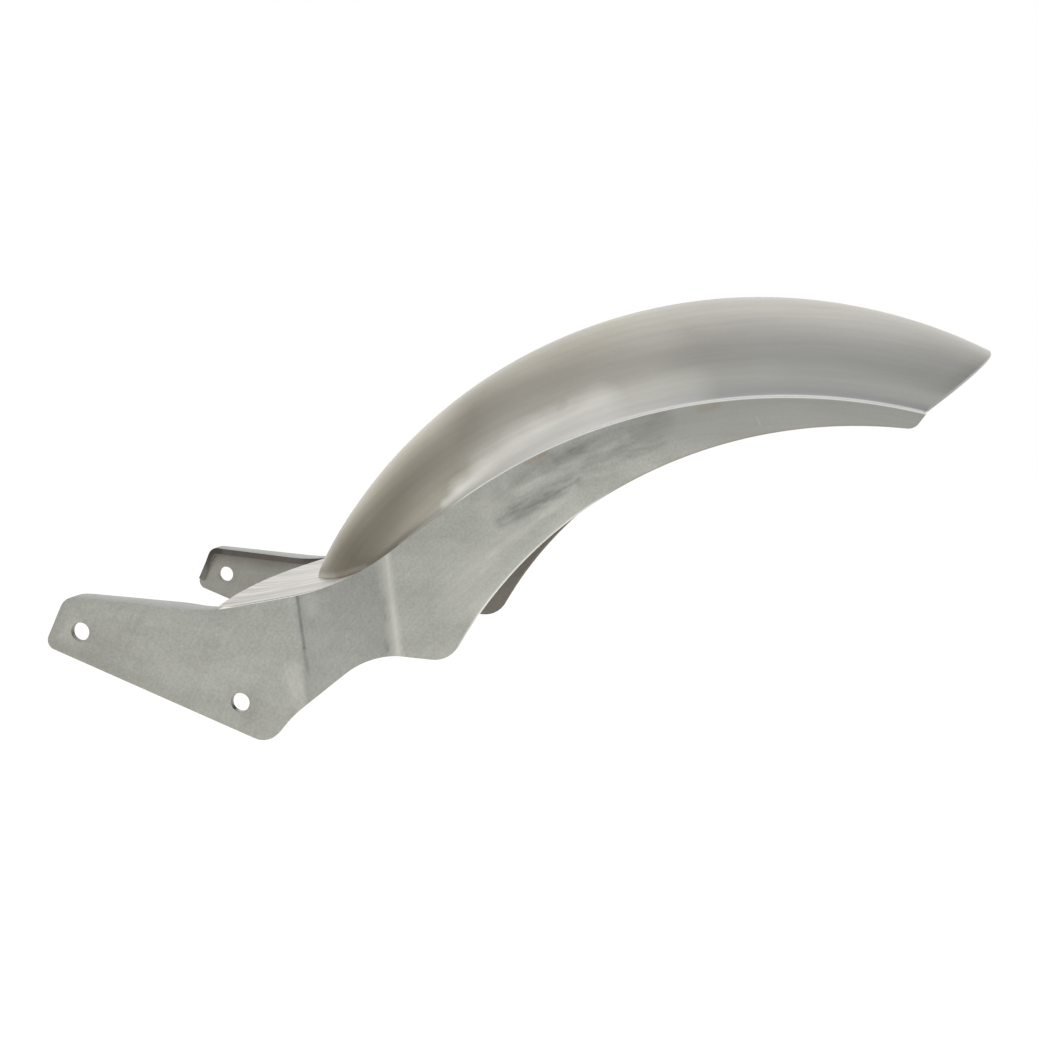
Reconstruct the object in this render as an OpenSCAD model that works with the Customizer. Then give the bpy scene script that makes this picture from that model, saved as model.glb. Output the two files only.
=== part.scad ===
// Rear fender of a motorcycle, welded up from four pieces of steel sheet:
// two bent side plates with bolt-on ears, a shelf that bridges them in front,
// and a crown with a domed nose that covers the wheel.
// +X points to the rear, +Z up, and Y = 0 is the middle plane of the wheel.
// The origin is on the axis of the front bolt holes.

/* [Bolt-on ears] */
// Diameter of the bolt holes
hole_d = 10.5; // [6.5:0.5:14]
// Distance between the front and the rear bolt hole of an ear
hole_pitch = 99; // [85:1:110]
// How far the line through the bolt holes falls to the rear, in degrees
hole_fall = 21.8; // [18:0.2:25]
// Distance over the outer faces of the two ears
ear_span = 245; // [225:1:280]
// Front hole centre to the front edge
ear_ahead = 16; // [13:0.5:22]
// Front hole centre to the top edge
ear_above = 19.3; // [17:0.1:24]
// Hole centres to the bottom edge
ear_below = 15.5; // [13:0.5:22]
// How far the top edge falls to the rear, in degrees
ear_top_fall = 4.9; // [2:0.1:8]
// Angle of the front edge above level, in degrees
ear_front_angle = 65.5; // [60:0.5:75]
// Radius of the upper front corner
ear_top_r = 9.5; // [6:0.5:14]
// Radius of the lower front corner
ear_toe_r = 5.5; // [2:0.5:8]

/* [Ear lip] */
// Greatest depth of the turned-in lip, from the outer face of the ear
lip_depth = 21; // [15:1:25]
// Depth of the lip at the toe of the ear
lip_toe_depth = 7; // [5:1:12]
// Depth of the lip behind the upper front corner
lip_front_depth = 15; // [10:1:20]
// Where the lip is deepest, behind the front bolt hole
lip_deep_x = 58; // [45:1:65]
// Depth at which the lip meets the front edge of the shelf
lip_shelf_depth = 13; // [8:1:16]
// Thickness of the lip
lip_t = 4; // [3:0.5:5]

/* [Side plates] */
// Thickness of the plates
plate_t = 4; // [3:0.5:5]
// Distance over the outer faces of the plates beside the wheel
plate_span = 166; // [150:1:190]
// Where the plate bends inward, behind the front bolt hole
bend_start = 126; // [118:1:132]
// Length over which it runs inward before it bends back
bend_run = 42; // [38:1:50]
// Lean of both bend lines to the front, in degrees
bend_lean = 6; // [0:0.5:9]
// Inside radius of the bends
bend_r = 6; // [3:0.5:9]

/* [Plate outline] */
// Radius of the lobe below the rear bolt hole
front_lobe_r = 12; // [8:1:18]
// Angle at which the lower edge rises behind that lobe
lobe_back_angle = 50; // [46:1:56]
// Angle of the straight run that follows
lobe_rise_angle = 39.5; // [36:0.5:42]
// Height of the notch between the two lobes, from the front bolt hole
notch_z = -15.5; // [-20:0.5:-11]
// How far the notch falls to the rear, in degrees
notch_fall = 4.4; // [1:0.2:7]
// Radius of the lobe behind the bends
rear_lobe_r = 16; // [10:1:20]
// Radius of the lower edge beside the wheel
lower_r = 251.5; // [245:0.5:258]
// Front end of that edge behind the front bolt hole
lower_front_x = 206.8; // [203:0.1:211]
// Front end of that edge above the front bolt hole
lower_front_z = -8.35; // [-12:0.05:-5]
// Rear end of that edge behind the front bolt hole
lower_back_x = 445.42; // [440:0.02:450]
// Rear end of that edge above the front bolt hole
lower_back_z = 114.54; // [112:0.02:116]
// Radius of the rear lower corner
tail_corner_r = 6.5; // [3:0.5:8]
// Angle of the short rear edge above level, in degrees
tail_edge_angle = 54; // [45:1:70]

/* [Seam] */
// Radius of the top edge of the plates, where the crown sits
seam_r = 307; // [300:1:315]
// Front end of that arc behind the front bolt hole
seam_front_x = 201.74; // [197:0.02:206]
// Front end of that arc above the front bolt hole
seam_front_z = 69.18; // [66:0.02:72]
// Rear end of that arc behind the front bolt hole
seam_back_x = 458.69; // [450:0.01:468]
// Rear end of that arc above the front bolt hole
seam_back_z = 122.39; // [119:0.01:126]
// Radius of the sweep from the shelf up to that straight run
sweep_r = 90; // [70:5:95]

/* [Shelf] */
// Thickness of the shelf
shelf_t = 3; // [2:0.5:4]
// Where the top edge turns up to carry the shelf, behind the front bolt hole
shelf_turn = 74; // [70:1:78]
// How far the shelf rises to the rear, in degrees
shelf_rise = 11.2; // [9:0.2:14]
// Radius of the turn in front of the shelf
shelf_turn_r = 100; // [60:5:110]
// Front edge of the shelf at the middle, behind the front bolt hole
shelf_front = 67.5; // [62:0.5:74]
// How far the front edge bows forward at the middle
shelf_bow = 9.5; // [2:0.5:12]
// Width of the rim under the nose of the crown
shelf_rim = 6; // [4:0.5:10]

/* [Crown] */
// Thickness of the crown
crown_t = 2.5; // [1.5:0.5:3.5]
// Radius of the top line of the crown
crown_r = 291; // [288:1:296]
// Tip of the nose behind the front bolt hole
nose_start = 104.84; // [100:0.02:108]
// Where the nose reaches the full width, behind the front bolt hole
nose_end = 190; // [170:1:205]
// Fullness of the arch: 2 is an ellipse, more is squarer
arch_power = 2.2; // [1.9:0.05:2.6]
// Ledge of plate left bare outside the crown
seam_ledge = 0.8; // [0.4:0.1:1.5]
// Width of the flare at the foot of the crown, at its widest
flare_w = 6; // [2:0.5:9]
// Height of that flare
flare_h = 13; // [8:0.5:18]
// Where the flare is widest, behind the front bolt hole
flare_x = 261; // [240:1:290]
// Angle of the cut across the rear end above level, in degrees
tail_angle = 37.8; // [32:0.2:46]
// Height of the crown along that cut, from its foot to its top line
tail_h = 53.3; // [48:0.1:58]
// How far the rear rim is rounded in
rim_roll = 1.2; // [0.4:0.1:1.6]

/* [Hidden] */

// Play between two pieces where they are welded
joint_gap = 0.1;
// Largest distance between an arc and its chords
arc_tol = 0.02;
// How far cutting shapes run past what they cut
over = 1;
// Size of the large shapes that are trimmed to the plates
trim = 500;
// Radii of the inner edge of the lip, by the front corner and where it turns outward
lip_step_r = 8;
lip_deep_r = 25;
// Steps along the nose, along the rest of the crown, and up one side of the arch
nose_steps = 14;
body_steps = 34;
arch_steps = 16;

ear_y = ear_span / 2;
plate_y = plate_span / 2;

// Point at angle a on a circle
function on_circle(c, r, a) = c + r * [cos(a), sin(a)];
// Where the line through p at angle a meets the line through q at angle b
function meet(p, a, q, b) =
    let (d = q - p)
    p + (d.x * sin(b) - d.y * cos(b)) / sin(b - a) * [cos(a), sin(a)];
// Corner of the tangents of a circle at angles a and b
function tangent_corner(c, r, a, b) = on_circle(c, r / cos((b - a) / 2), (a + b) / 2);
function unit(v) = v / norm(v);
function angle_of(v) = atan2(v.y, v.x);
// Centre of the arc of radius r that bulges upward from p to q
function centre_below(p, q, r) =
    let (h = (q - p) / 2)
    p + h + sqrt(r * r - h * h) * unit([h.y, -h.x]);
// Smooth step from 0 to 1
function ease(t) = let (k = min(max(t, 0), 1)) k * k * (3 - 2 * k);

// Points of the arc that rounds corner v, which is [corner, radius]
function corner_arc(prev, v, next) =
    v[1] == 0 ? [v[0]] :
    let (
        to_prev = unit(prev[0] - v[0]),
        to_next = unit(next[0] - v[0]),
        half = acos(to_prev * to_next) / 2,
        centre = v[0] + unit(to_prev + to_next) * v[1] / sin(half),
        first = v[0] + to_prev * v[1] / tan(half) - centre,
        last = v[0] + to_next * v[1] / tan(half) - centre,
        a = angle_of(first),
        turn = atan2(first.x * last.y - first.y * last.x, first * last),
        n = max(3, ceil(abs(turn) / (2 * acos(1 - arc_tol / v[1]))))
    )
    [for (i = [0:n]) on_circle(centre, v[1], a + turn * i / n)];
// Open path through corners, the first and last left sharp
function rounded_path(c) = [
    c[0][0],
    for (i = [1:len(c) - 2]) each corner_arc(c[i - 1], c[i], c[i + 1]),
    c[len(c) - 1][0],
];
// Closed outline through corners
function rounded(c) = [
    for (i = [0:len(c) - 1])
        each corner_arc(c[(i + len(c) - 1) % len(c)], c[i], c[(i + 1) % len(c)]),
];
function reversed(p) = [for (i = [len(p) - 1:-1:0]) p[i]];

// Corners of a side plate, seen from the side as [X, Z]
front_hole = [0, 0];
rear_hole = on_circle(front_hole, hole_pitch, -hole_fall);
front_edge = on_circle(front_hole, ear_ahead, ear_front_angle + 90);
top_edge = on_circle(front_hole, ear_above, 90 - ear_top_fall);
bottom_edge = on_circle(front_hole, ear_below, -90 - hole_fall);
seam_start = [seam_front_x, seam_front_z];
seam_end = [seam_back_x, seam_back_z];
seam_c = centre_below(seam_start, seam_end, seam_r);
seam_start_a = angle_of(seam_start - seam_c);
seam_end_a = angle_of(seam_end - seam_c);
lower_start = [lower_front_x, lower_front_z];
lower_end = [lower_back_x, lower_back_z];
lower_c = centre_below(lower_start, lower_end, lower_r);
lower_start_a = angle_of(lower_start - lower_c);
lower_end_a = angle_of(lower_end - lower_c);
// Distance of the front lobe's back edge and of the run behind it from the rear hole
lobe_back = 27;
lobe_run = 24;
run_blend_r = 60;
notch_r = 30;
notch_x = 164;

top_corner = meet(front_edge, ear_front_angle, top_edge, -ear_top_fall);
toe_corner = meet(front_edge, ear_front_angle, bottom_edge, -hole_fall);
turn_corner = meet(top_edge, -ear_top_fall, [shelf_turn, 0], 90);
sweep_corner = meet(turn_corner, shelf_rise, seam_start, seam_start_a - 90);
seam_corner = tangent_corner(seam_c, seam_r, seam_start_a, seam_end_a);
tail_corner = meet(seam_end, tail_edge_angle, lower_end, lower_end_a - 90);
lower_corner = tangent_corner(lower_c, lower_r, lower_end_a, lower_start_a);
lobe_back_edge = on_circle(rear_hole, lobe_back, lobe_back_angle - 90);
lobe_run_edge = on_circle(rear_hole, lobe_run, lobe_rise_angle - 90);
rear_lobe = meet(lower_start, lower_start_a - 90, [notch_x, notch_z], -notch_fall);
notch_corner = meet([notch_x, notch_z], -notch_fall, lobe_run_edge, lobe_rise_angle);
run_corner = meet(lobe_run_edge, lobe_rise_angle, lobe_back_edge, lobe_back_angle);
front_lobe = meet(lobe_back_edge, lobe_back_angle, bottom_edge, -hole_fall);

toe_arc = corner_arc([front_lobe], [toe_corner, ear_toe_r], [top_corner]);
top_arc = corner_arc([toe_corner], [top_corner, ear_top_r], [turn_corner]);
turn_arc = corner_arc([top_corner], [turn_corner, shelf_turn_r], [sweep_corner]);
plate_outline = concat(toe_arc, top_arc, turn_arc, rounded_path([
    [turn_arc[len(turn_arc) - 1], 0],
    [sweep_corner, sweep_r],
    [seam_corner, seam_r],
    [seam_end, 0],
    [tail_corner, tail_corner_r],
    [lower_corner, lower_r],
    [rear_lobe, rear_lobe_r],
    [notch_corner, notch_r],
    [run_corner, run_blend_r],
    [front_lobe, front_lobe_r],
    [toe_arc[0], 0],
]));

// The lip seen from the side: a strip along the front and the top edge of the ear
lip_outline = concat(
    [toe_arc[len(toe_arc) - 1]],
    top_arc,
    turn_arc,
    reversed(rounded_path([
        [toe_arc[len(toe_arc) - 1] + lip_t * [sin(ear_front_angle), -cos(ear_front_angle)], 0],
        [meet(front_edge + lip_t * [sin(ear_front_angle), -cos(ear_front_angle)], ear_front_angle,
            top_edge - lip_t * [sin(ear_top_fall), cos(ear_top_fall)], -ear_top_fall), ear_top_r - lip_t],
        [meet(top_edge - lip_t * [sin(ear_top_fall), cos(ear_top_fall)], -ear_top_fall,
            turn_corner - lip_t * [-sin(shelf_rise), cos(shelf_rise)], shelf_rise), shelf_turn_r + lip_t],
        [turn_arc[len(turn_arc) - 1] - lip_t * [-sin(shelf_rise), cos(shelf_rise)], 0],
    ]))
);

// The top edge from the ear to the rear end, which carries the shelf and the crown
carrier = rounded_path([
    [meet(top_edge, -ear_top_fall, front_hole, 90), 0],
    [turn_corner, shelf_turn_r],
    [sweep_corner, sweep_r],
    [seam_corner, seam_r],
    [seam_end, 0],
]);
function carrier_z(x) = lookup(x, carrier);

// Path of a plate face seen from above, with the outer bend radii r1 and r2;
// inset is its distance inward from the outer face
bend_angle = atan2(ear_y - plate_y, bend_run);
function plate_path(inset, r1, r2) =
    let (shift = inset * tan(bend_angle / 2))
    rounded_path([
        [[bend_start - trim, ear_y - inset], 0],
        [[bend_start - shift, ear_y - inset], r1],
        [[bend_start + bend_run - shift, plate_y - inset], r2],
        [[bend_start + bend_run + trim, plate_y - inset], 0],
    ]);
outer_face = plate_path(0, bend_r + plate_t, bend_r);
inner_face = plate_path(plate_t, bend_r, bend_r + plate_t);
shelf_side = plate_path(plate_t + joint_gap, bend_r - joint_gap, bend_r + plate_t + joint_gap);

// Runs a side view in XZ across the part, from y1 to y2
module across(y1, y2) {
    translate([0, y2, 0])
        rotate([90, 0, 0])
            linear_extrude(y2 - y1)
                children();
}

// Runs a plan view up and down along the leaning bend lines
module along_bends() {
    rotate([0, -bend_lean, 0])
        translate([0, 0, -trim / 2])
            linear_extrude(trim)
                children();
}

// Inner edge of the lip seen from above. It starts at the front end of the ear, meets the
// shelf and runs out along the side of the shelf.
runout_end = turn_arc[len(turn_arc) - 1].x;
reach = ear_y - plate_t - joint_gap;
front_r = (reach * reach + shelf_bow * shelf_bow) / (2 * shelf_bow);
function shelf_front_x(y) = shelf_front + front_r - sqrt(front_r * front_r - y * y);
lip_meets = [shelf_front_x(ear_y - lip_shelf_depth), ear_y - lip_shelf_depth];
lip_inner_edge = rounded_path([
    [[toe_corner.x - over, ear_y - lip_toe_depth], 0],
    [[top_corner.x - ear_top_r / 2, ear_y - lip_toe_depth], lip_step_r],
    [[top_corner.x + ear_top_r, ear_y - lip_front_depth], lip_step_r],
    [[lip_deep_x, ear_y - lip_depth], lip_deep_r],
    [lip_meets, 0],
    [[runout_end, ear_y - plate_t], 0],
    [[runout_end + over, ear_y - plate_t], 0],
]);

module side_plate() {
    difference() {
        union() {
            intersection() {
                across(plate_y - 2 * plate_t, ear_y + over)
                    polygon(plate_outline);
                along_bends()
                    polygon(concat(outer_face, reversed(inner_face)));
            }
            difference() {
                across(ear_y - lip_depth - over, ear_y - plate_t / 2)
                    polygon(lip_outline);
                translate([0, 0, toe_corner.y - ear_above])
                    linear_extrude(3 * ear_above)
                        polygon(concat(lip_inner_edge, [
                            [runout_end + over, 0],
                            [toe_corner.x - over, 0],
                        ]));
            }
        }
        for (hole = [front_hole, rear_hole])
            across(ear_y - plate_t - over, ear_y + over)
                translate(hole)
                    circle(d = hole_d, $fn = 64);
    }
}

module side_plate_right() {
    color("#9a9e97")
        side_plate();
}

module side_plate_left() {
    color("#9a9e97")
        mirror([0, 1, 0])
            side_plate();
}

// Foot of the crown at station x, and the centre of its top line, which runs from the tip
// of the nose to the top of the cut across the rear end
function foot(x) = [x, carrier_z(x) + joint_gap];
crown_c = centre_below(foot(nose_start),
    on_circle(foot(seam_end.x), tail_h, tail_angle), crown_r);

// Where the nose of a shell of radius r comes down on the shelf
function nose_tip(r, x = nose_start, n = 4) =
    n == 0 ? x :
    nose_tip(r, crown_c.x - sqrt(r * r - pow(foot(x).y - crown_c.y, 2)), n - 1);

// Stations of the crown, for a shell inset by t: [X on the carrier, share of the full width]
function stations(t) =
    let (nose_len = nose_end - nose_tip(crown_r - t))
    [
        for (i = [0:nose_steps])
            let (a = 90 * i / nose_steps)
            [nose_end - nose_len * cos(a), sin(a)],
        for (i = [1:body_steps])
            [nose_end + (seam_end.x - nose_end - 2 * rim_roll) * i / body_steps, 1],
        for (i = [1:3])
            [seam_end.x - 2 * rim_roll * (1 - i / 3), 1],
    ];

// Stations stand upright up to here and then lean over to the cut across the rear end
lean_start = 300;
function lean(x) = 90 - (90 - tail_angle) * ease((x - lean_start) / (seam_end.x - lean_start));

// Distance from p in direction d to the crown's top line
function to_top(p, d, r) =
    let (m = p - crown_c, k = m * d)
    sqrt(k * k - m * m + r * r) - k;

// The flare fades from its widest place to the nose and to the rear end
function flare(x) = x < flare_x
    ? 0.25 + 0.75 * ease((x - nose_end) / (flare_x - nose_end))
    : 1 - 0.5 * ease((x - flare_x) / (seam_end.x - flare_x));

// One arch of the shell, from the left foot over the top to the right foot
function arch(station, t, roll) =
    let (
        x = station[0],
        d = [cos(lean(x)), sin(lean(x))],
        base = foot(x),
        high = to_top(base, d, crown_r - t) - roll,
        fw = flare_w * flare(x) * station[1],
        fh = min(flare_h * flare(x), high / 2),
        wide = (plate_y - seam_ledge - t) * station[1] - fw - roll,
        p = 2 / arch_power
    )
    [
        for (j = [-arch_steps:arch_steps])
            let (
                side = j < 0 ? -1 : 1,
                phi = 90 * pow(1 - abs(j) / arch_steps, 1.6),
                v = high * pow(sin(phi), p),
                y = wide * pow(cos(phi), p) + fw * pow(max(0, 1 - v / fh), 2)
            )
            [base.x + v * d.x, abs(j) == 0 ? 0 : side * y, base.y + v * d.y],
    ];

module crown() {
    row = 2 * arch_steps + 1;
    outer = stations(0);
    inner = stations(crown_t);
    n = len(outer) - 1;
    // The rim is rounded in over the last steps
    function roll(i) = rim_roll * pow(max(0, i - (n - 3)) / 3, 2);
    function tip(s) = [s[0][0], 0, foot(s[0][0]).y];
    points = [
        tip(outer),
        for (i = [1:n]) each arch(outer[i], 0, roll(i)),
        tip(inner),
        for (i = [1:n]) each arch(inner[i], crown_t, 0),
    ];
    back = 1 + n * row;
    function o(i, j) = i == 0 ? 0 : 1 + (i - 1) * row + j;
    function q(i, j) = back + o(i, j);
    faces = [
        for (i = [0:n - 1], j = [0:row - 2]) each [
            if (i > 0) [o(i, j), o(i, j + 1), o(i + 1, j)],
            [o(i, j + 1), o(i + 1, j + 1), o(i + 1, j)],
            if (i > 0) [q(i, j), q(i + 1, j), q(i, j + 1)],
            [q(i, j + 1), q(i + 1, j), q(i + 1, j + 1)],
        ],
        for (i = [0:n - 1]) each [
            [o(i, 0), o(i + 1, 0), q(i + 1, 0)],
            [o(i, 0), q(i + 1, 0), q(i, 0)],
            [o(i, row - 1), q(i + 1, row - 1), o(i + 1, row - 1)],
            [o(i, row - 1), q(i, row - 1), q(i + 1, row - 1)],
        ],
        for (j = [0:row - 2]) each [
            [o(n, j), o(n, j + 1), q(n, j)],
            [o(n, j + 1), q(n, j + 1), q(n, j)],
        ],
    ];
    color("#9a978c")
        polyhedron(points, faces, convexity = 6);
}

// The shelf: a sheet between the plates, flush with their top edges,
// open behind under the crown
module shelf() {
    top = [for (p = carrier) if (p.x < nose_end) p];
    opening = nose_end - nose_tip(crown_r) - shelf_rim;
    color("#cdc8c4")
        difference() {
            intersection() {
                across(-reach, reach)
                    polygon(concat(top, [for (p = reversed(top)) p - [0, shelf_t]]));
                along_bends()
                    polygon(concat(shelf_side, [for (p = reversed(shelf_side)) [p.x, -p.y]]));
                translate([shelf_front + front_r, 0, -over])
                    cylinder(h = 2 * ear_above + 2 * over, r = front_r, $fn = 360);
            }
            translate([nose_end, 0, -over])
                linear_extrude(4 * ear_above)
                    polygon([
                        for (a = [90:5:270])
                            [opening * cos(a), (plate_y - seam_ledge - crown_t) * sin(a)],
                        [nose_end, -plate_y],
                        [nose_end, plate_y],
                    ]);
            lip_runout_clearance();
            mirror([0, 1, 0])
                lip_runout_clearance();
        }
}

// What is left free in the shelf for the end of a lip
module lip_runout_clearance() {
    translate([0, -joint_gap, 0])
        linear_extrude(2 * ear_above)
            polygon([
                lip_meets,
                [runout_end, ear_y - plate_t],
                [runout_end, ear_y],
                [lip_meets.x, ear_y],
            ]);
}

crown();
side_plate_left();
side_plate_right();
shelf();
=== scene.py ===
import math

import bpy
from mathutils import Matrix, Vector


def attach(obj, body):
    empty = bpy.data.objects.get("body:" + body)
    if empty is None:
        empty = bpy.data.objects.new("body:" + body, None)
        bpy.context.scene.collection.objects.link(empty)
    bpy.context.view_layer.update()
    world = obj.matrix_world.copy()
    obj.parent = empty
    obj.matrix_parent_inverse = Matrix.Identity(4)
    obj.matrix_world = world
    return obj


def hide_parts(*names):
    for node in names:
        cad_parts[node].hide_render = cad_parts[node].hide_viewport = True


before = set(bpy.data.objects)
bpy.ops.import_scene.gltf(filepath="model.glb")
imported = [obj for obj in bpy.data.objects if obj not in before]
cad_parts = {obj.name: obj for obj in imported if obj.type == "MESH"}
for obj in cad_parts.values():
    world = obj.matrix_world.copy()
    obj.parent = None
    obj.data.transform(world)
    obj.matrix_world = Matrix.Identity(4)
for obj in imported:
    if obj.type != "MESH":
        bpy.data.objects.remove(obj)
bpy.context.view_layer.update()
scene = bpy.context.scene

# Camera: about a metre off the left side, a little above the part and turned towards its
# front end, where the near and the far bolt holes appear as far apart as in the photo.
looks_down = 5.770
turned_forward = 8.934
camera_data = bpy.data.cameras.new("camera")
camera_data.sensor_width = 36.0
camera_data.lens = 55.34
camera_data.clip_start = 0.05
camera = bpy.data.objects.new("camera", camera_data)
camera.location = (0.377, -0.9503, 0.1516)
camera.rotation_euler = (math.radians(90 - looks_down), 0.0, math.radians(turned_forward))
scene.collection.objects.link(camera)
scene.camera = camera
scene.view_settings.view_transform = "Standard"

# Room: the pale studio that the steel mirrors. It is bright from below up to eye level and
# greyer overhead, dark ahead of the nose, dimmer off the tail and brightest beyond the far
# side. The camera itself sees plain white.
from_below_up = (
    (0.0, (0.87, 0.84, 0.80)),
    (0.40, (0.93, 0.93, 0.90)),
    (0.52, (0.93, 0.93, 0.91)),
    (0.68, (0.725, 0.725, 0.71)),
    (0.85, (0.565, 0.565, 0.565)),
    (1.0, (0.62, 0.62, 0.64)),
)
from_front_back = (
    (0.05, (0.36, 0.34, 0.31)),
    (0.24, (0.91, 0.90, 0.88)),
    (0.40, (1.03, 1.03, 1.03)),
    (0.62, (1.0, 1.0, 1.0)),
    (0.82, (0.53, 0.53, 0.53)),
    (1.0, (0.97, 0.97, 0.97)),
)
far_side_gain = 1.75


def vector_calc(tree, operation, a, b):
    """A Vector Math node on a and b, each a fixed value or a socket."""
    node = tree.nodes.new("ShaderNodeVectorMath")
    node.operation = operation
    second = "Scale" if operation == "SCALE" else 1
    for socket, value in ((node.inputs[0], a), (node.inputs[second], b)):
        if isinstance(value, bpy.types.NodeSocket):
            tree.links.new(value, socket)
        else:
            socket.default_value = value
    return node.outputs["Value" if operation in ("DOT_PRODUCT", "DISTANCE") else "Vector"]


def parts(tree, vector):
    """The X, Y and Z of a vector."""
    node = tree.nodes.new("ShaderNodeSeparateXYZ")
    tree.links.new(vector, node.inputs[0])
    return node.outputs


def mapped(tree, value, start, end, low=0.0, high=1.0):
    """Low up to where value is start, high from where it is end, and even between them."""
    node = tree.nodes.new("ShaderNodeMapRange")
    node.inputs["From Min"].default_value = start
    node.inputs["From Max"].default_value = end
    node.inputs["To Min"].default_value = low
    node.inputs["To Max"].default_value = high
    tree.links.new(value, node.inputs["Value"])
    return node.outputs["Result"]


def shaded(tree, share, interpolation, stops):
    """A colour ramp through stops of a position and a colour."""
    node = tree.nodes.new("ShaderNodeValToRGB")
    ramp = node.color_ramp
    ramp.interpolation = interpolation
    for element, (position, colour) in zip(ramp.elements, (stops[0], stops[-1])):
        element.position = position
        element.color = (*colour, 1.0)
    for position, colour in stops[1:-1]:
        ramp.elements.new(position).color = (*colour, 1.0)
    tree.links.new(share, node.inputs["Fac"])
    return node.outputs["Color"]


world = bpy.data.worlds.new("studio")
scene.world = world
world.use_nodes = True
tree = world.node_tree
tree.nodes.clear()
direction = parts(tree, tree.nodes.new("ShaderNodeTexCoord").outputs["Generated"])
height = mapped(tree, direction["Z"], start=-1.0, end=1.0)
lengthwise = mapped(tree, direction["X"], start=-1.0, end=1.0)
by_height = shaded(tree, height, "B_SPLINE", from_below_up)
by_length = shaded(tree, lengthwise, "LINEAR", from_front_back)
both = vector_calc(tree, "MULTIPLY", by_length, by_height)
far_side = mapped(tree, direction["Y"], start=0.2, end=0.9, low=1.0, high=far_side_gain)
walls = tree.nodes.new("ShaderNodeBackground")
walls.inputs["Strength"].default_value = 1.0
tree.links.new(vector_calc(tree, "SCALE", both, far_side), walls.inputs["Color"])
white = tree.nodes.new("ShaderNodeBackground")
white.inputs["Color"].default_value = (1.0, 1.0, 1.0, 1.0)
white.inputs["Strength"].default_value = 1.0
path = tree.nodes.new("ShaderNodeLightPath")
mix = tree.nodes.new("ShaderNodeMixShader")
tree.links.new(path.outputs["Is Camera Ray"], mix.inputs["Fac"])
tree.links.new(walls.outputs[0], mix.inputs[1])
tree.links.new(white.outputs[0], mix.inputs[2])
tree.links.new(mix.outputs[0], tree.nodes.new("ShaderNodeOutputWorld").inputs["Surface"])

# Lamp: a large soft square lamp above and beyond the part, aimed at the middle of it. It
# lifts the top of the crown and the shelf.
lamp_place = (0.2, 0.5, 1.5)
lamp_aim = (0.25, 0.0, 0.05)
lamp = bpy.data.lights.new("light_above", "AREA")
lamp.size = 1.6
lamp.energy = 2.2
holder = bpy.data.objects.new("light_above", lamp)
holder.location = lamp_place
holder.rotation_euler = (Vector(lamp_aim) - Vector(lamp_place)).to_track_quat("-Z", "Y").to_euler()
scene.collection.objects.link(holder)

# Floor: a pale studio floor well below the part, which hangs from its bolt holes as in the
# photo. It is drawn for the camera alone, and only from above, so the steel goes on mirroring
# the room behind it.
floor_size = 16.0
floor_place = (0.25, 0.0, -0.5)


def calc(tree, operation, a, b=None, clamp=False):
    """A Math node on a and b, each a number or a socket."""
    node = tree.nodes.new("ShaderNodeMath")
    node.operation = operation
    node.use_clamp = clamp
    for socket, value in zip(node.inputs, (a, b)):
        if isinstance(value, (int, float)):
            socket.default_value = value
        elif value is not None:
            tree.links.new(value, socket)
    return node.outputs[0]


bpy.ops.object.select_all(action="DESELECT")
bpy.ops.mesh.primitive_plane_add(size=floor_size, location=floor_place)
floor = bpy.context.object
floor.name = "floor"
bpy.ops.object.transform_apply(location=True, rotation=False, scale=False)
pale_floor = bpy.data.materials.new("pale_floor")
pale_floor.use_nodes = True
tree = pale_floor.node_tree
matt = tree.nodes["Principled BSDF"]
matt.inputs["Base Color"].default_value = (0.80, 0.80, 0.80, 1.0)
matt.inputs["Roughness"].default_value = 1.0
matt.inputs["Specular IOR Level"].default_value = 0.0
matt.inputs["Emission Color"].default_value = (1.0, 1.0, 1.0, 1.0)
matt.inputs["Emission Strength"].default_value = 0.55
clear = tree.nodes.new("ShaderNodeBsdfTransparent")
path = tree.nodes.new("ShaderNodeLightPath")
geometry = tree.nodes.new("ShaderNodeNewGeometry")
drawn = calc(tree, "SUBTRACT", path.outputs["Is Camera Ray"], geometry.outputs["Backfacing"], clamp=True)
mix = tree.nodes.new("ShaderNodeMixShader")
tree.links.new(drawn, mix.inputs["Fac"])
tree.links.new(clear.outputs[0], mix.inputs[1])
tree.links.new(matt.outputs[0], mix.inputs[2])
tree.links.new(mix.outputs[0], tree.nodes["Material Output"].inputs["Surface"])
floor.data.materials.append(pale_floor)

# Side plates: two mirrored blanks of 4 mm raw steel, greenish grey with rub marks, and with painted
# highlights and shade along the bends, the seam and the edges. Each is folded twice so that its ear
# stands wide of the wheel, with the ear's top edge turned in as a lip. Two holes bolt each ear on,
# and the crown and the shelf are welded to the plates.
seam_centre = (386.5, -176.0)
seam = (seam_centre, 307.0)
lower_edge = ((423.5, -136.0), 251.5)
bolt_holes = ((0.0, 0.0), (0.09192, -0.036765))
bolt_hole_wall = 0.0054
lip_rim_y = 0.1165
ear_end = 0.092
lip_end = 0.08
seam_start = 0.2
# Where the painted shade under the lip lies: below the lip's underside, sloping along the ear, and how
# deep it fades
lip_underside = 0.0154
lip_slope = 0.0857
under_lip_shade_depth = 0.012
# Where the painted shade on the inner faces deepens: behind the two bends, under the crown
first_bend = 0.11
bends_length = 0.06
mm_per_metre = 1000


def in_metres(place):
    """A place in side view, given as X and Z in mm, as a vector in metres."""
    return (place[0] / mm_per_metre, 0.0, place[1] / mm_per_metre)


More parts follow.
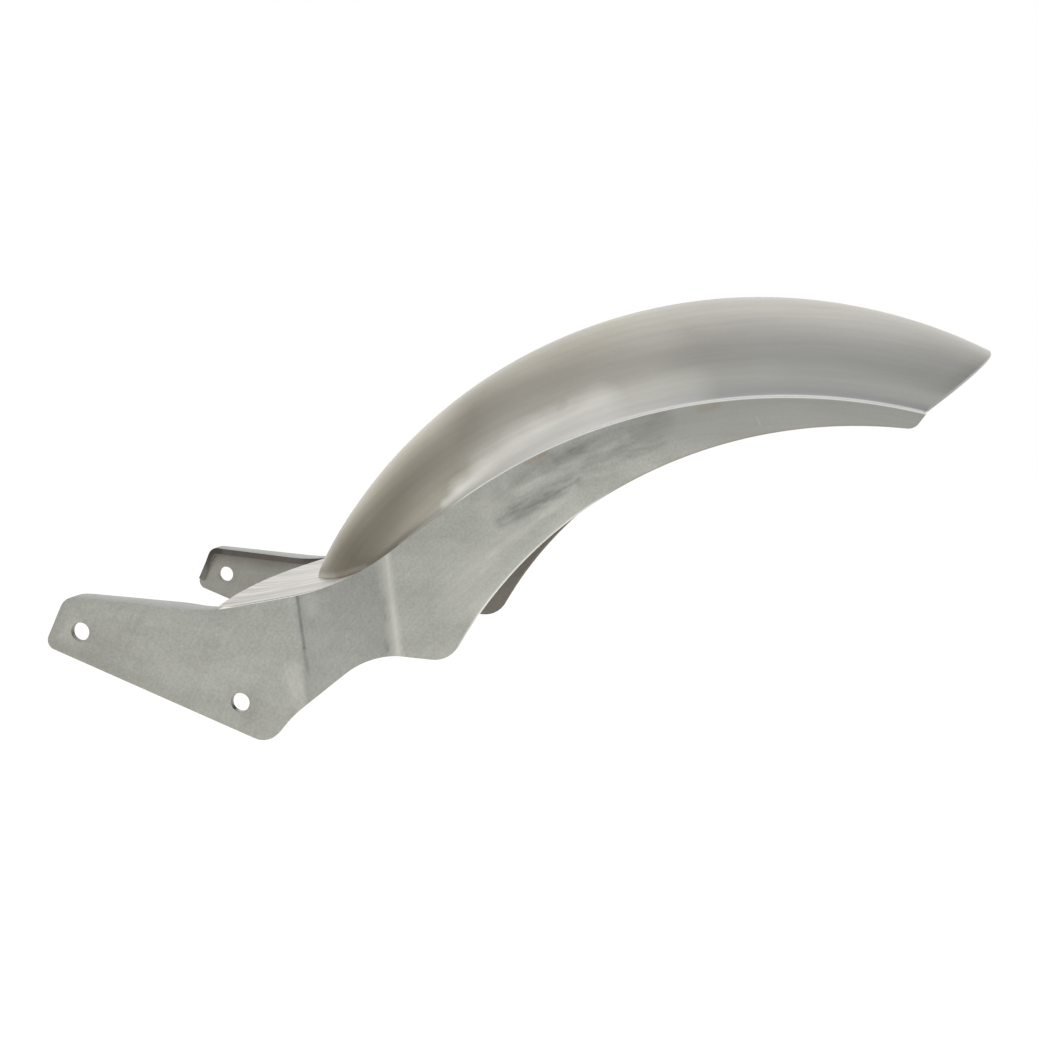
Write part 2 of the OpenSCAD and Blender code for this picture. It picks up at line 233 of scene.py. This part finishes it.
def group(name, inputs, outputs):
    """A new node group, with the node that gives its inputs and the one that takes its results."""
    made = bpy.data.node_groups.new(name, "ShaderNodeTree")
    for label, value in inputs.items():
        kind = "NodeSocketFloat" if isinstance(value, float) else "NodeSocketVector"
        socket = made.interface.new_socket(name=label, in_out="INPUT", socket_type=kind)
        if value is not None:
            socket.default_value = value
    for label in outputs:
        made.interface.new_socket(name=label, in_out="OUTPUT", socket_type="NodeSocketFloat")
    return made, made.nodes.new("NodeGroupInput"), made.nodes.new("NodeGroupOutput")


def combined(tree, x, y, z):
    """A vector from three values, each a number or a socket."""
    node = tree.nodes.new("ShaderNodeCombineXYZ")
    for socket, value in zip(node.inputs, (x, y, z)):
        if isinstance(value, (int, float)):
            socket.default_value = value
        else:
            tree.links.new(value, socket)
    return node.outputs[0]


def noise(tree, vector, scale, detail, roughness=0.5):
    """Noise over a vector. Its scale is a number or a socket."""
    node = tree.nodes.new("ShaderNodeTexNoise")
    node.inputs["Detail"].default_value = detail
    node.inputs["Roughness"].default_value = roughness
    tree.links.new(vector, node.inputs["Vector"])
    if isinstance(scale, (int, float)):
        node.inputs["Scale"].default_value = scale
    else:
        tree.links.new(scale, node.inputs["Scale"])
    return node.outputs["Fac"]


# The grain of rolled sheet: cloudy patches, long fine streaks and a speckle, all about a tone of 1
noise_middle = 0.5
noise_gain = 4.0
grain, given, result = group(
    "steel_grain",
    {
        "Vector": None,
        "Stretch": (12.0, 12.0, 160.0),
        "Cloud Scale": 22.0,
        "Cloud": 0.10,
        "Streak": 0.08,
        "Speckle": 0.05,
    },
    ("Tone", "Height"),
)
stretched = vector_calc(grain, "MULTIPLY", given.outputs["Vector"], given.outputs["Stretch"])
cloud = noise(grain, given.outputs["Vector"], given.outputs["Cloud Scale"], detail=5.0, roughness=0.62)
streak = noise(grain, stretched, scale=1.0, detail=3.0)
speckle = noise(grain, given.outputs["Vector"], scale=700.0, detail=2.0)
tone = 1.0
for texture, label in ((cloud, "Cloud"), (streak, "Streak"), (speckle, "Speckle")):
    centred = calc(grain, "SUBTRACT", texture, noise_middle)
    weighed = calc(grain, "MULTIPLY", centred, given.outputs[label])
    tone = calc(grain, "ADD", calc(grain, "MULTIPLY", weighed, noise_gain), tone)
grain.links.new(tone, result.inputs["Tone"])
grain.links.new(speckle, result.inputs["Height"])

# A mark left on the near side: a soft-edged line between two points, broken into streaks
side_view = (1.0, 0.0, 1.0)
streak_pace_along = 0.45
streak_pace_across = 2.2
break_level = 0.42
break_contrast = 5.0
mark, given, result = group(
    "line_mark",
    {
        "Vector": None,
        "Start": (0.0, 0.0, 0.0),
        "End": (0.1, 0.0, 0.0),
        "Width": 0.002,
        "Soft": 0.002,
        "Broken": 0.5,
        "Break Scale": 160.0,
    },
    ("Mask",),
)
flat = vector_calc(mark, "MULTIPLY", given.outputs["Vector"], side_view)
offset = vector_calc(mark, "SUBTRACT", flat, given.outputs["Start"])
run = vector_calc(mark, "SUBTRACT", given.outputs["End"], given.outputs["Start"])
along = vector_calc(mark, "DOT_PRODUCT", offset, run)
whole = vector_calc(mark, "DOT_PRODUCT", run, run)
nearest = vector_calc(mark, "SCALE", run, calc(mark, "DIVIDE", along, whole, clamp=True))
away = vector_calc(mark, "DISTANCE", offset, nearest)
beyond = calc(mark, "SUBTRACT", away, given.outputs["Width"])
faded = calc(mark, "DIVIDE", beyond, given.outputs["Soft"], clamp=True)
solid = calc(mark, "SUBTRACT", 1.0, faded)
square_to = vector_calc(mark, "CROSS_PRODUCT", run, (0.0, 1.0, 0.0))
sideways = vector_calc(mark, "DOT_PRODUCT", offset, square_to)
length = calc(mark, "SQRT", whole)
streak_x = calc(mark, "DIVIDE", calc(mark, "MULTIPLY", along, streak_pace_along), length)
streak_y = calc(mark, "DIVIDE", calc(mark, "MULTIPLY", sideways, streak_pace_across), length)
streaky = combined(mark, streak_x, streak_y, length)
patchy = noise(mark, streaky, given.outputs["Break Scale"], detail=4.0)
lifted = calc(mark, "SUBTRACT", patchy, break_level)
hole = calc(mark, "SUBTRACT", 1.0, calc(mark, "MULTIPLY", lifted, break_contrast, clamp=True))
kept = calc(mark, "SUBTRACT", 1.0, calc(mark, "MULTIPLY", hole, given.outputs["Broken"]))
near_side = calc(mark, "LESS_THAN", parts(mark, given.outputs["Vector"])["Y"], 0.0)
masked = calc(mark, "MULTIPLY", calc(mark, "MULTIPLY", solid, kept), near_side)
mark.links.new(masked, result.inputs["Mask"])

# A line or band along a round edge, between two places lengthwise. Its soft rim can spread on the way
arc, given, result = group(
    "arc_mark",
    {
        "Vector": None,
        "Centre": (0.0, 0.0, 0.0),
        "Radius": 0.3,
        "Width": 0.001,
        "Soft": 0.001,
        "From X": 0.0,
        "To X": 1.0,
        "Spread": 0.0,
        "Fade": 0.012,
    },
    ("Mask",),
)
flat = vector_calc(arc, "MULTIPLY", given.outputs["Vector"], side_view)
away = vector_calc(arc, "DISTANCE", flat, given.outputs["Centre"])
error = calc(arc, "ABSOLUTE", calc(arc, "SUBTRACT", away, given.outputs["Radius"]))
beyond = calc(arc, "SUBTRACT", error, given.outputs["Width"])
x = parts(arc, given.outputs["Vector"])["X"]
gone = calc(arc, "MAXIMUM", calc(arc, "SUBTRACT", x, given.outputs["From X"]), 0.0)
softness = calc(arc, "ADD", calc(arc, "MULTIPLY", gone, given.outputs["Spread"]), given.outputs["Soft"])
solid = calc(arc, "SUBTRACT", 1.0, calc(arc, "DIVIDE", beyond, softness, clamp=True))
past = calc(arc, "DIVIDE", gone, given.outputs["Fade"], clamp=True)
left = calc(arc, "SUBTRACT", given.outputs["To X"], x)
before = calc(arc, "DIVIDE", left, given.outputs["Fade"], clamp=True)
masked = calc(arc, "MULTIPLY", solid, calc(arc, "MULTIPLY", past, before))
arc.links.new(masked, result.inputs["Mask"])

# Streaks left by grinding, which follow the round seam: long along it, fine away from it
along_seam = 4.0
away_from_seam = 380.0
across_part = 60.0
ground, given, result = group(
    "ground_streaks",
    {
        "Vector": None,
        "Centre": in_metres(seam_centre),
        "Amount": 0.1,
    },
    ("Tone",),
)
x, y, z = parts(ground, vector_calc(ground, "SUBTRACT", given.outputs["Vector"], given.outputs["Centre"]))
square_x = calc(ground, "MULTIPLY", x, x)
square_z = calc(ground, "MULTIPLY", z, z)
radius = calc(ground, "SQRT", calc(ground, "ADD", square_x, square_z))
angle = calc(ground, "ARCTAN2", x, z)
unrolled = combined(
    ground,
    calc(ground, "MULTIPLY", angle, along_seam),
    calc(ground, "MULTIPLY", radius, away_from_seam),
    calc(ground, "MULTIPLY", y, across_part),
)
long_noise = noise(ground, unrolled, scale=1.0, detail=4.0, roughness=0.6)
centred = calc(ground, "SUBTRACT", long_noise, noise_middle)
weighed = calc(ground, "MULTIPLY", centred, given.outputs["Amount"])
scaled = calc(ground, "MULTIPLY", weighed, noise_gain)
ground.links.new(calc(ground, "ADD", scaled, 1.0), result.inputs["Tone"])

# Painted light on the plates: painted shade on the rim of the lip, under the lip, on the inner faces
# and in the walls of the bolt holes; the top of the lip darker; a painted highlight on the top edge
# behind it
sideways_face = 0.5
inward_face = -0.3
upward_face = 0.75
inside_shade_before_bends = 0.4
light_and_shade, given, result = group(
    "painted_light_and_shade",
    {"Vector": None, "Normal": None},
    ("Lip Rim Shade", "Corner", "Inside", "Bore Shade", "Lip Top", "Top Edge Highlight"),
)
x, y, z = parts(light_and_shade, given.outputs["Vector"])
normal = parts(light_and_shade, given.outputs["Normal"])
# Painted shade on the rim of the lip: the faces across the ear, inside the lip
across = calc(light_and_shade, "GREATER_THAN", calc(light_and_shade, "ABSOLUTE", normal["Y"]), sideways_face)
inside = calc(light_and_shade, "LESS_THAN", calc(light_and_shade, "ABSOLUTE", y), lip_rim_y)
on_ear = calc(light_and_shade, "LESS_THAN", x, ear_end)
lip_rim_shade = calc(light_and_shade, "MULTIPLY", across, calc(light_and_shade, "MULTIPLY", inside, on_ear))
light_and_shade.links.new(lip_rim_shade, result.inputs["Lip Rim Shade"])
# Painted shade under the lip, on the inner face of the ear, fading downwards
turned_in = calc(light_and_shade, "MULTIPLY", normal["Y"], calc(light_and_shade, "SIGN", y))
inward = calc(light_and_shade, "LESS_THAN", turned_in, inward_face)
below_top = calc(light_and_shade, "SUBTRACT", lip_underside, z)
below_slope = calc(light_and_shade, "SUBTRACT", below_top, calc(light_and_shade, "MULTIPLY", x, lip_slope))
under_lip_shade = calc(light_and_shade, "SUBTRACT", 1.0, calc(light_and_shade, "DIVIDE", below_slope, under_lip_shade_depth, clamp=True))
under_lip_shade = calc(light_and_shade, "MULTIPLY", under_lip_shade, calc(light_and_shade, "MULTIPLY", inward, on_ear))
light_and_shade.links.new(under_lip_shade, result.inputs["Corner"])
# Painted shade on the inner faces, weaker before the bends and full behind them
past_bend = calc(light_and_shade, "SUBTRACT", x, first_bend)
behind_bends = calc(light_and_shade, "DIVIDE", past_bend, bends_length, clamp=True)
share = calc(light_and_shade, "MULTIPLY", behind_bends, 1.0 - inside_shade_before_bends)
share = calc(light_and_shade, "ADD", share, inside_shade_before_bends)
light_and_shade.links.new(calc(light_and_shade, "MULTIPLY", inward, share), result.inputs["Inside"])
# The top of the lip, and a painted highlight on the upward top edge between the lip and the seam
upward = calc(light_and_shade, "GREATER_THAN", normal["Z"], upward_face)
on_lip = calc(light_and_shade, "LESS_THAN", x, lip_end)
off_lip = calc(light_and_shade, "GREATER_THAN", x, lip_end)
before_seam = calc(light_and_shade, "LESS_THAN", x, seam_start)
top_edge_highlight = calc(light_and_shade, "MULTIPLY", upward, calc(light_and_shade, "MULTIPLY", off_lip, before_seam))
light_and_shade.links.new(calc(light_and_shade, "MULTIPLY", upward, on_lip), result.inputs["Lip Top"])
light_and_shade.links.new(top_edge_highlight, result.inputs["Top Edge Highlight"])
# Painted shade in the walls of the bolt holes
bore_shade = 0.0
for hole_x, hole_z in bolt_holes:
    from_x = calc(light_and_shade, "SUBTRACT", x, hole_x)
    from_z = calc(light_and_shade, "SUBTRACT", z, hole_z)
    square_x = calc(light_and_shade, "MULTIPLY", from_x, from_x)
    square_z = calc(light_and_shade, "MULTIPLY", from_z, from_z)
    near = calc(light_and_shade, "LESS_THAN", calc(light_and_shade, "ADD", square_x, square_z), bolt_hole_wall ** 2)
    bore_shade = calc(light_and_shade, "ADD", near, bore_shade)
light_and_shade.links.new(bore_shade, result.inputs["Bore Shade"])


def placed(tree, made, vector):
    """One of the groups above, placed in a material and reading vector."""
    node = tree.nodes.new("ShaderNodeGroup")
    node.node_tree = made
    tree.links.new(vector, node.inputs["Vector"])
    return node


def tinted(tree, colour, tint, mask, strength):
    """Colour mixed with tint by a mask and a strength."""
    amount = calc(tree, "MULTIPLY", mask, strength)
    over = tree.nodes.new("ShaderNodeMix")
    over.data_type = "RGBA"
    over.inputs["B"].default_value = (*tint, 1.0)
    tree.links.new(amount, over.inputs["Factor"])
    tree.links.new(colour, over.inputs["A"])
    return over.outputs["Result"]


def steel(name, colour, roughness, grain_values, streaks, marks=(), arcs=(), edge=0.0, from_above=False):
    """Raw steel: grain over one colour, marks laid over it, painted shade and highlights at set places,
    and streaks over all of it.
    """
    rougher_where_dark = 0.18
    made = bpy.data.materials.new(name)
    made.use_nodes = True
    tree = made.node_tree
    shader = tree.nodes["Principled BSDF"]
    shader.inputs["Metallic"].default_value = 1.0
    on_part = tree.nodes.new("ShaderNodeTexCoord").outputs["Object"]
    grained = placed(tree, grain, on_part)
    for label, value in grain_values.items():
        grained.inputs[label].default_value = value
    current = vector_calc(tree, "SCALE", colour, grained.outputs["Tone"])
    drawn_on = on_part
    if from_above:
        # The marks' plane is turned from side view to plan, and its Y is held on the near side
        place = parts(tree, on_part)
        drawn_on = combined(tree, place["X"], -1.0, place["Y"])
    for start, end, width, soft, broken, tint, strength in marks:
        line = placed(tree, mark, drawn_on)
        line.inputs["Start"].default_value = in_metres(start)
        line.inputs["End"].default_value = in_metres(end)
        line.inputs["Width"].default_value = width / mm_per_metre
        line.inputs["Soft"].default_value = soft / mm_per_metre
        line.inputs["Broken"].default_value = broken
        current = tinted(tree, current, tint, line.outputs["Mask"], strength)
    for centre, radius, width, soft, start_x, end_x, tint, strength, spread, fade in arcs:
        line = placed(tree, arc, on_part)
        line.inputs["Centre"].default_value = in_metres(centre)
        line.inputs["Radius"].default_value = radius / mm_per_metre
        line.inputs["Width"].default_value = width / mm_per_metre
        line.inputs["Soft"].default_value = soft / mm_per_metre
        line.inputs["From X"].default_value = start_x / mm_per_metre
        line.inputs["To X"].default_value = end_x / mm_per_metre
        line.inputs["Spread"].default_value = spread
        line.inputs["Fade"].default_value = fade / mm_per_metre
        current = tinted(tree, current, tint, line.outputs["Mask"], strength)
    light_and_shade_node = placed(tree, light_and_shade, on_part)
    geometry = tree.nodes.new("ShaderNodeNewGeometry")
    tree.links.new(geometry.outputs["True Normal"], light_and_shade_node.inputs["Normal"])
    # Painted shade on the inner faces, under the lip, on the lip's rim and in the bolt holes; the lip's
    # top darker; a painted highlight on the top edge
    for label, tint, strength in (
        ("Inside", (0.17, 0.145, 0.125), 0.78),
        ("Corner", (0.12, 0.10, 0.09), 0.70),
        ("Lip Rim Shade", (0.14, 0.125, 0.12), 0.62),
        ("Bore Shade", (0.17, 0.14, 0.12), 0.75),
        ("Lip Top", (0.30, 0.305, 0.29), edge),
        ("Top Edge Highlight", (0.95, 0.95, 0.92), edge),
    ):
        current = tinted(tree, current, tint, light_and_shade_node.outputs[label], strength)
    streaked = placed(tree, ground, on_part)
    streaked.inputs["Amount"].default_value = streaks
    finished = vector_calc(tree, "SCALE", current, streaked.outputs["Tone"])
    tree.links.new(finished, shader.inputs["Base Color"])
    rough = calc(tree, "MULTIPLY", grained.outputs["Tone"], -rougher_where_dark)
    rough = calc(tree, "ADD", rough, roughness + rougher_where_dark)
    tree.links.new(rough, shader.inputs["Roughness"])
    bump = tree.nodes.new("ShaderNodeBump")
    bump.inputs["Strength"].default_value = 0.06
    bump.inputs["Distance"].default_value = 0.0004
    tree.links.new(grained.outputs["Height"], bump.inputs["Height"])
    tree.links.new(bump.outputs["Normal"], shader.inputs["Normal"])
    return made


def stand_in(node, name, worn, smooth_angle):
    """A clean copy of a sheet's solid in one mesh, with its sharp edges worn round by worn metres."""
    piece = bpy.data.objects.new(name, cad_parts[node].data.copy())
    scene.collection.objects.link(piece)
    bpy.ops.object.select_all(action="DESELECT")
    piece.select_set(True)
    bpy.context.view_layer.objects.active = piece
    bpy.ops.object.mode_set(mode="EDIT")
    bpy.ops.mesh.select_all(action="SELECT")
    bpy.ops.mesh.remove_doubles(threshold=0.00001)
    bpy.ops.mesh.normals_make_consistent(inside=False)
    if worn:
        bpy.ops.mesh.dissolve_limited(angle_limit=math.radians(0.5))
    bpy.ops.object.mode_set(mode="OBJECT")
    if piece.data.has_custom_normals:
        bpy.ops.mesh.customdata_custom_splitnormals_clear()
    if worn:
        bevel = piece.modifiers.new("worn_edge", "BEVEL")
        bevel.width = worn
        bevel.segments = 3
        bevel.limit_method = "ANGLE"
        bevel.angle_limit = math.radians(40)
        bpy.ops.object.modifier_apply(modifier=bevel.name)
    bpy.ops.object.shade_smooth_by_angle(angle=math.radians(smooth_angle))
    piece.data.materials.clear()
    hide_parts(node)
    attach(piece, "root")
    return piece


plate_colour = (0.51, 0.52, 0.488)
dark = (0.25, 0.255, 0.245)
pale = (0.72, 0.72, 0.68)
rust = (0.42, 0.27, 0.20)
cut_edge = (0.42, 0.30, 0.25)
# A painted highlight: the bright lines along the seam and the plates' lower edge
painted_highlight_white = (1.0, 1.0, 0.97)
# Each mark: start and end as X and Z, width, softness, all in mm, how broken it is, tint, strength
plate_marks = (
    ((320, 126), (455, 118), 14.0, 14.0, 0.0, (0.43, 0.438, 0.412), 0.85),
    ((258, 93), (318, 117), 4.0, 6.0, 0.45, dark, 0.45),
    ((228, 76), (257, 98), 1.0, 5.0, 0.5, dark, 0.40),
    ((219, 11), (274, 66), 1.5, 7.0, 0.15, pale, 0.45),
    ((205, 20), (232, 52), 3.0, 14.0, 0.2, pale, 0.30),
    ((224, 42), (272, 80), 0.8, 2.5, 0.6, pale, 0.50),
    ((240, 78), (300, 108), 0.8, 3.0, 0.6, pale, 0.35),
    ((278, 92), (318, 106), 1.5, 4.0, 0.8, dark, 0.40),
    # Painted light along the two bends: dark lines of painted shade and pale painted highlights
    ((124.6, 24), (128.3, -6), 0.3, 0.7, 0.4, dark, 0.85),
    ((128.3, -6), (130, -18), 0.3, 1.2, 0.6, dark, 0.45),
    ((130.1, 20.2), (131.5, 13.5), 1.5, 3.0, 0.4, pale, 0.45),
    ((121.5, -18.9), (127.5, -37), 2.5, 5.0, 0.45, pale, 0.45),
    ((164, 40.9), (171.0, -15.4), 0.8, 4.0, 0.15, pale, 0.95),
    ((164.8, 16.2), (165.2, 5), 0.4, 2.2, 0.8, dark, 0.45),
    ((165.6, -4), (166.4, -12), 0.4, 2.0, 0.8, dark, 0.40),
    ((238.4, 67.9), (271.8, 84), 1.8, 4.5, 0.75, dark, 0.68),
    ((231, 61), (262, 77), 1.5, 4.0, 0.9, dark, 0.50),
    ((227.2, 82.1), (229.5, 77.7), 1.0, 3.0, 0.5, dark, 0.35),
    ((262, 97), (274, 103), 1.5, 3.5, 0.7, dark, 0.65),
    ((222, 68), (231, 80), 3.0, 6.0, 0.3, pale, 0.30),
    ((339.5, 124.1), (349.2, 126.3), 0.8, 2.5, 0.5, rust, 0.50),
    ((245.7, 95.1), (255.1, 99.6), 0.8, 2.5, 0.5, rust, 0.45),
    ((370.0, 119.4), (371.7, 115.7), 0.2, 0.5, 0.3, pale, 0.22),
    ((-17, -10.5), (82, -50), 0.2, 0.7, 0.3, cut_edge, 0.4),
)
# The first two arcs are painted highlights, along the seam and along the lower edge; the third is the
# brown of the cut edge
# Each arc: centre and radius, width, softness, from X, to X, in mm, tint, strength, spread, fade in mm
plate_arcs = (
    (*seam, 0.5, 0.5, 200, 500, painted_highlight_white, 0.9, 0.0, 12),
    (*lower_edge, 0.4, 0.7, 205, 292, painted_highlight_white, 0.8, 0.0, 12),
    (*lower_edge, 0.2, 0.8, 292, 450, cut_edge, 0.5, 0.0, 12),
)
plate_grain = {
    "Stretch": (30.0, 30.0, 110.0),
    "Cloud Scale": 24.0,
    "Cloud": 0.09,
    "Streak": 0.05,
    "Speckle": 0.09,
}
cut_edge_wear = 0.0005
sheet_smooth_angle = 30
plate_roughness = 0.50
plate_streaks = 0.05
# Strength of the darker lip top and of the painted highlight on the plates' top edge
plate_edge = 0.65
plate_steel = steel(
    "plate_steel",
    plate_colour,
    plate_roughness,
    plate_grain,
    plate_streaks,
    plate_marks,
    plate_arcs,
    edge=plate_edge,
)
for node in ("side_plate_left", "side_plate_right"):
    plate = stand_in(node, node + "_worn", cut_edge_wear, sheet_smooth_angle)
    plate.data.materials.append(plate_steel)

# Shelf: one 3 mm steel sheet that rises from the ears to the crown's nose, welded between the
# plates. Its top is ground bright fore and aft, with brown stains, and dark lines of painted shade
# mark a groove along its near edge.
shelf_colour = (0.55, 0.533, 0.517)
stain = (0.40, 0.36, 0.33)
groove_shade = (0.10, 0.09, 0.08)
# Each mark as on the plates, but with X and Y for its ends
shelf_marks = (
    # Two dark lines of painted shade for the groove along the near edge
    ((80, -117.4), (124, -117.4), 1.9, 0.6, 0.0, groove_shade, 0.95),
    ((125, -116.3), (146, -96.8), 1.9, 0.6, 0.0, groove_shade, 0.95),
    ((76, 80), (88, 84), 5.0, 8.0, 0.6, stain, 0.55),
    ((104, -62), (138, -90), 5.0, 7.0, 0.5, stain, 0.45),
    ((71, -48), (96, -30), 2.0, 5.0, 0.6, stain, 0.40),
    ((84, -80), (118, -88), 2.0, 4.0, 0.6, stain, 0.35),
)
shelf_grain = {
    "Stretch": (9.0, 120.0, 9.0),
    "Cloud Scale": 30.0,
    "Cloud": 0.07,
    "Streak": 0.24,
    "Speckle": 0.04,
}
shelf_roughness = 0.45
shelf_streaks = 0.0
shelf_steel = steel(
    "shelf_steel",
    shelf_colour,
    shelf_roughness,
    shelf_grain,
    shelf_streaks,
    shelf_marks,
    from_above=True,
)
shelf = stand_in("shelf", "shelf_worn", cut_edge_wear, sheet_smooth_angle)
shelf.data.materials.append(shelf_steel)

# Crown: one pressed 2.5 mm steel shell with a domed nose, welded along its foot to the plates and
# the shelf. The weld is ground flush; a painted highlight draws a bright line along it and a painted
# reflection a pale band above it. The shell is browner than the plates and turns greyer to the rear.
crown_colour = (0.485, 0.46, 0.40)
painted_sheen = (1.0, 0.99, 0.95)
nose_base_highlight = (0.85, 0.82, 0.77)
greyer_rear = (0.535, 0.548, 0.535)
# Except the small dark spot at (262, 124), these marks are painted light: a painted reflection band above
# the foot and on the nose flank, and painted highlights along the seam, the nose base and the tail
crown_marks = (
    ((150, 62), (188, 104), 3.0, 24.0, 0.0, (0.68, 0.65, 0.57), 0.75),
    ((200, 69.5), (222, 86), 0.6, 4.5, 0.05, painted_sheen, 0.92),
    ((209, 78), (238, 99), 1.2, 9.0, 0.3, painted_sheen, 0.90),
    ((224, 91), (248, 107), 2.0, 12.0, 0.3, painted_sheen, 0.90),
    # Painted highlight along the nose base, where it meets the shelf
    ((105, 19.5), (126, 24.5), 0.6, 2.6, 0.2, nose_base_highlight, 0.70),
    ((126, 24.5), (150, 33), 0.3, 2.0, 0.3, nose_base_highlight, 0.60),
    ((320, 132), (375, 139), 1.0, 14.0, 0.0, (0.70, 0.70, 0.66), 0.40),
    ((236, 108), (312, 143), 1.0, 30.0, 0.0, (0.74, 0.725, 0.67), 0.62),
    ((243, 103), (285, 124), 3.0, 13.0, 0.15, painted_sheen, 0.85),
    ((285, 124), (335, 134), 1.0, 14.0, 0.0, (0.90, 0.90, 0.865), 0.42),
    ((215, 96), (238, 112), 1.0, 12.0, 0.0, (0.66, 0.64, 0.59), 0.40),
    ((197, 104), (200, 108), 1.0, 5.0, 0.3, (0.62, 0.61, 0.56), 0.30),
    ((459.5, 123.5), (494, 150), 0.7, 1.2, 0.0, (0.72, 0.72, 0.69), 0.55),
    ((262, 124), (264, 127), 0.6, 3.0, 0.4, (0.40, 0.39, 0.36), 0.25),
    ((172, 47), (205, 72.5), 0.3, 0.9, 0.0, (0.80, 0.80, 0.76), 0.75),
)
# The greyer rear is a tone; the other two arcs are a painted reflection band and a painted highlight line
# along the seam
crown_arcs = (
    (*seam, 0.0, 80.0, 280, 620, greyer_rear, 0.85, 0.0, 90),
    (*seam, 0.5, 4.0, 170, 350, painted_sheen, 0.95, 0.10, 70),
    (*seam, 0.6, 0.6, 200, 500, painted_highlight_white, 0.9, 0.0, 12),
)
crown_grain = {
    "Stretch": (10.0, 40.0, 60.0),
    "Cloud Scale": 14.0,
    "Cloud": 0.06,
    "Streak": 0.05,
    "Speckle": 0.03,
}
crown_roughness = 0.42
crown_streaks = 0.06
crown_steel = steel(
    "crown_steel",
    crown_colour,
    crown_roughness,
    crown_grain,
    crown_streaks,
    crown_marks,
    crown_arcs,
)
crown_smooth_angle = 42
crown_edge_wear = 0.0
crown = stand_in("crown", "crown_skin", crown_edge_wear, crown_smooth_angle)
crown.data.materials.append(crown_steel)
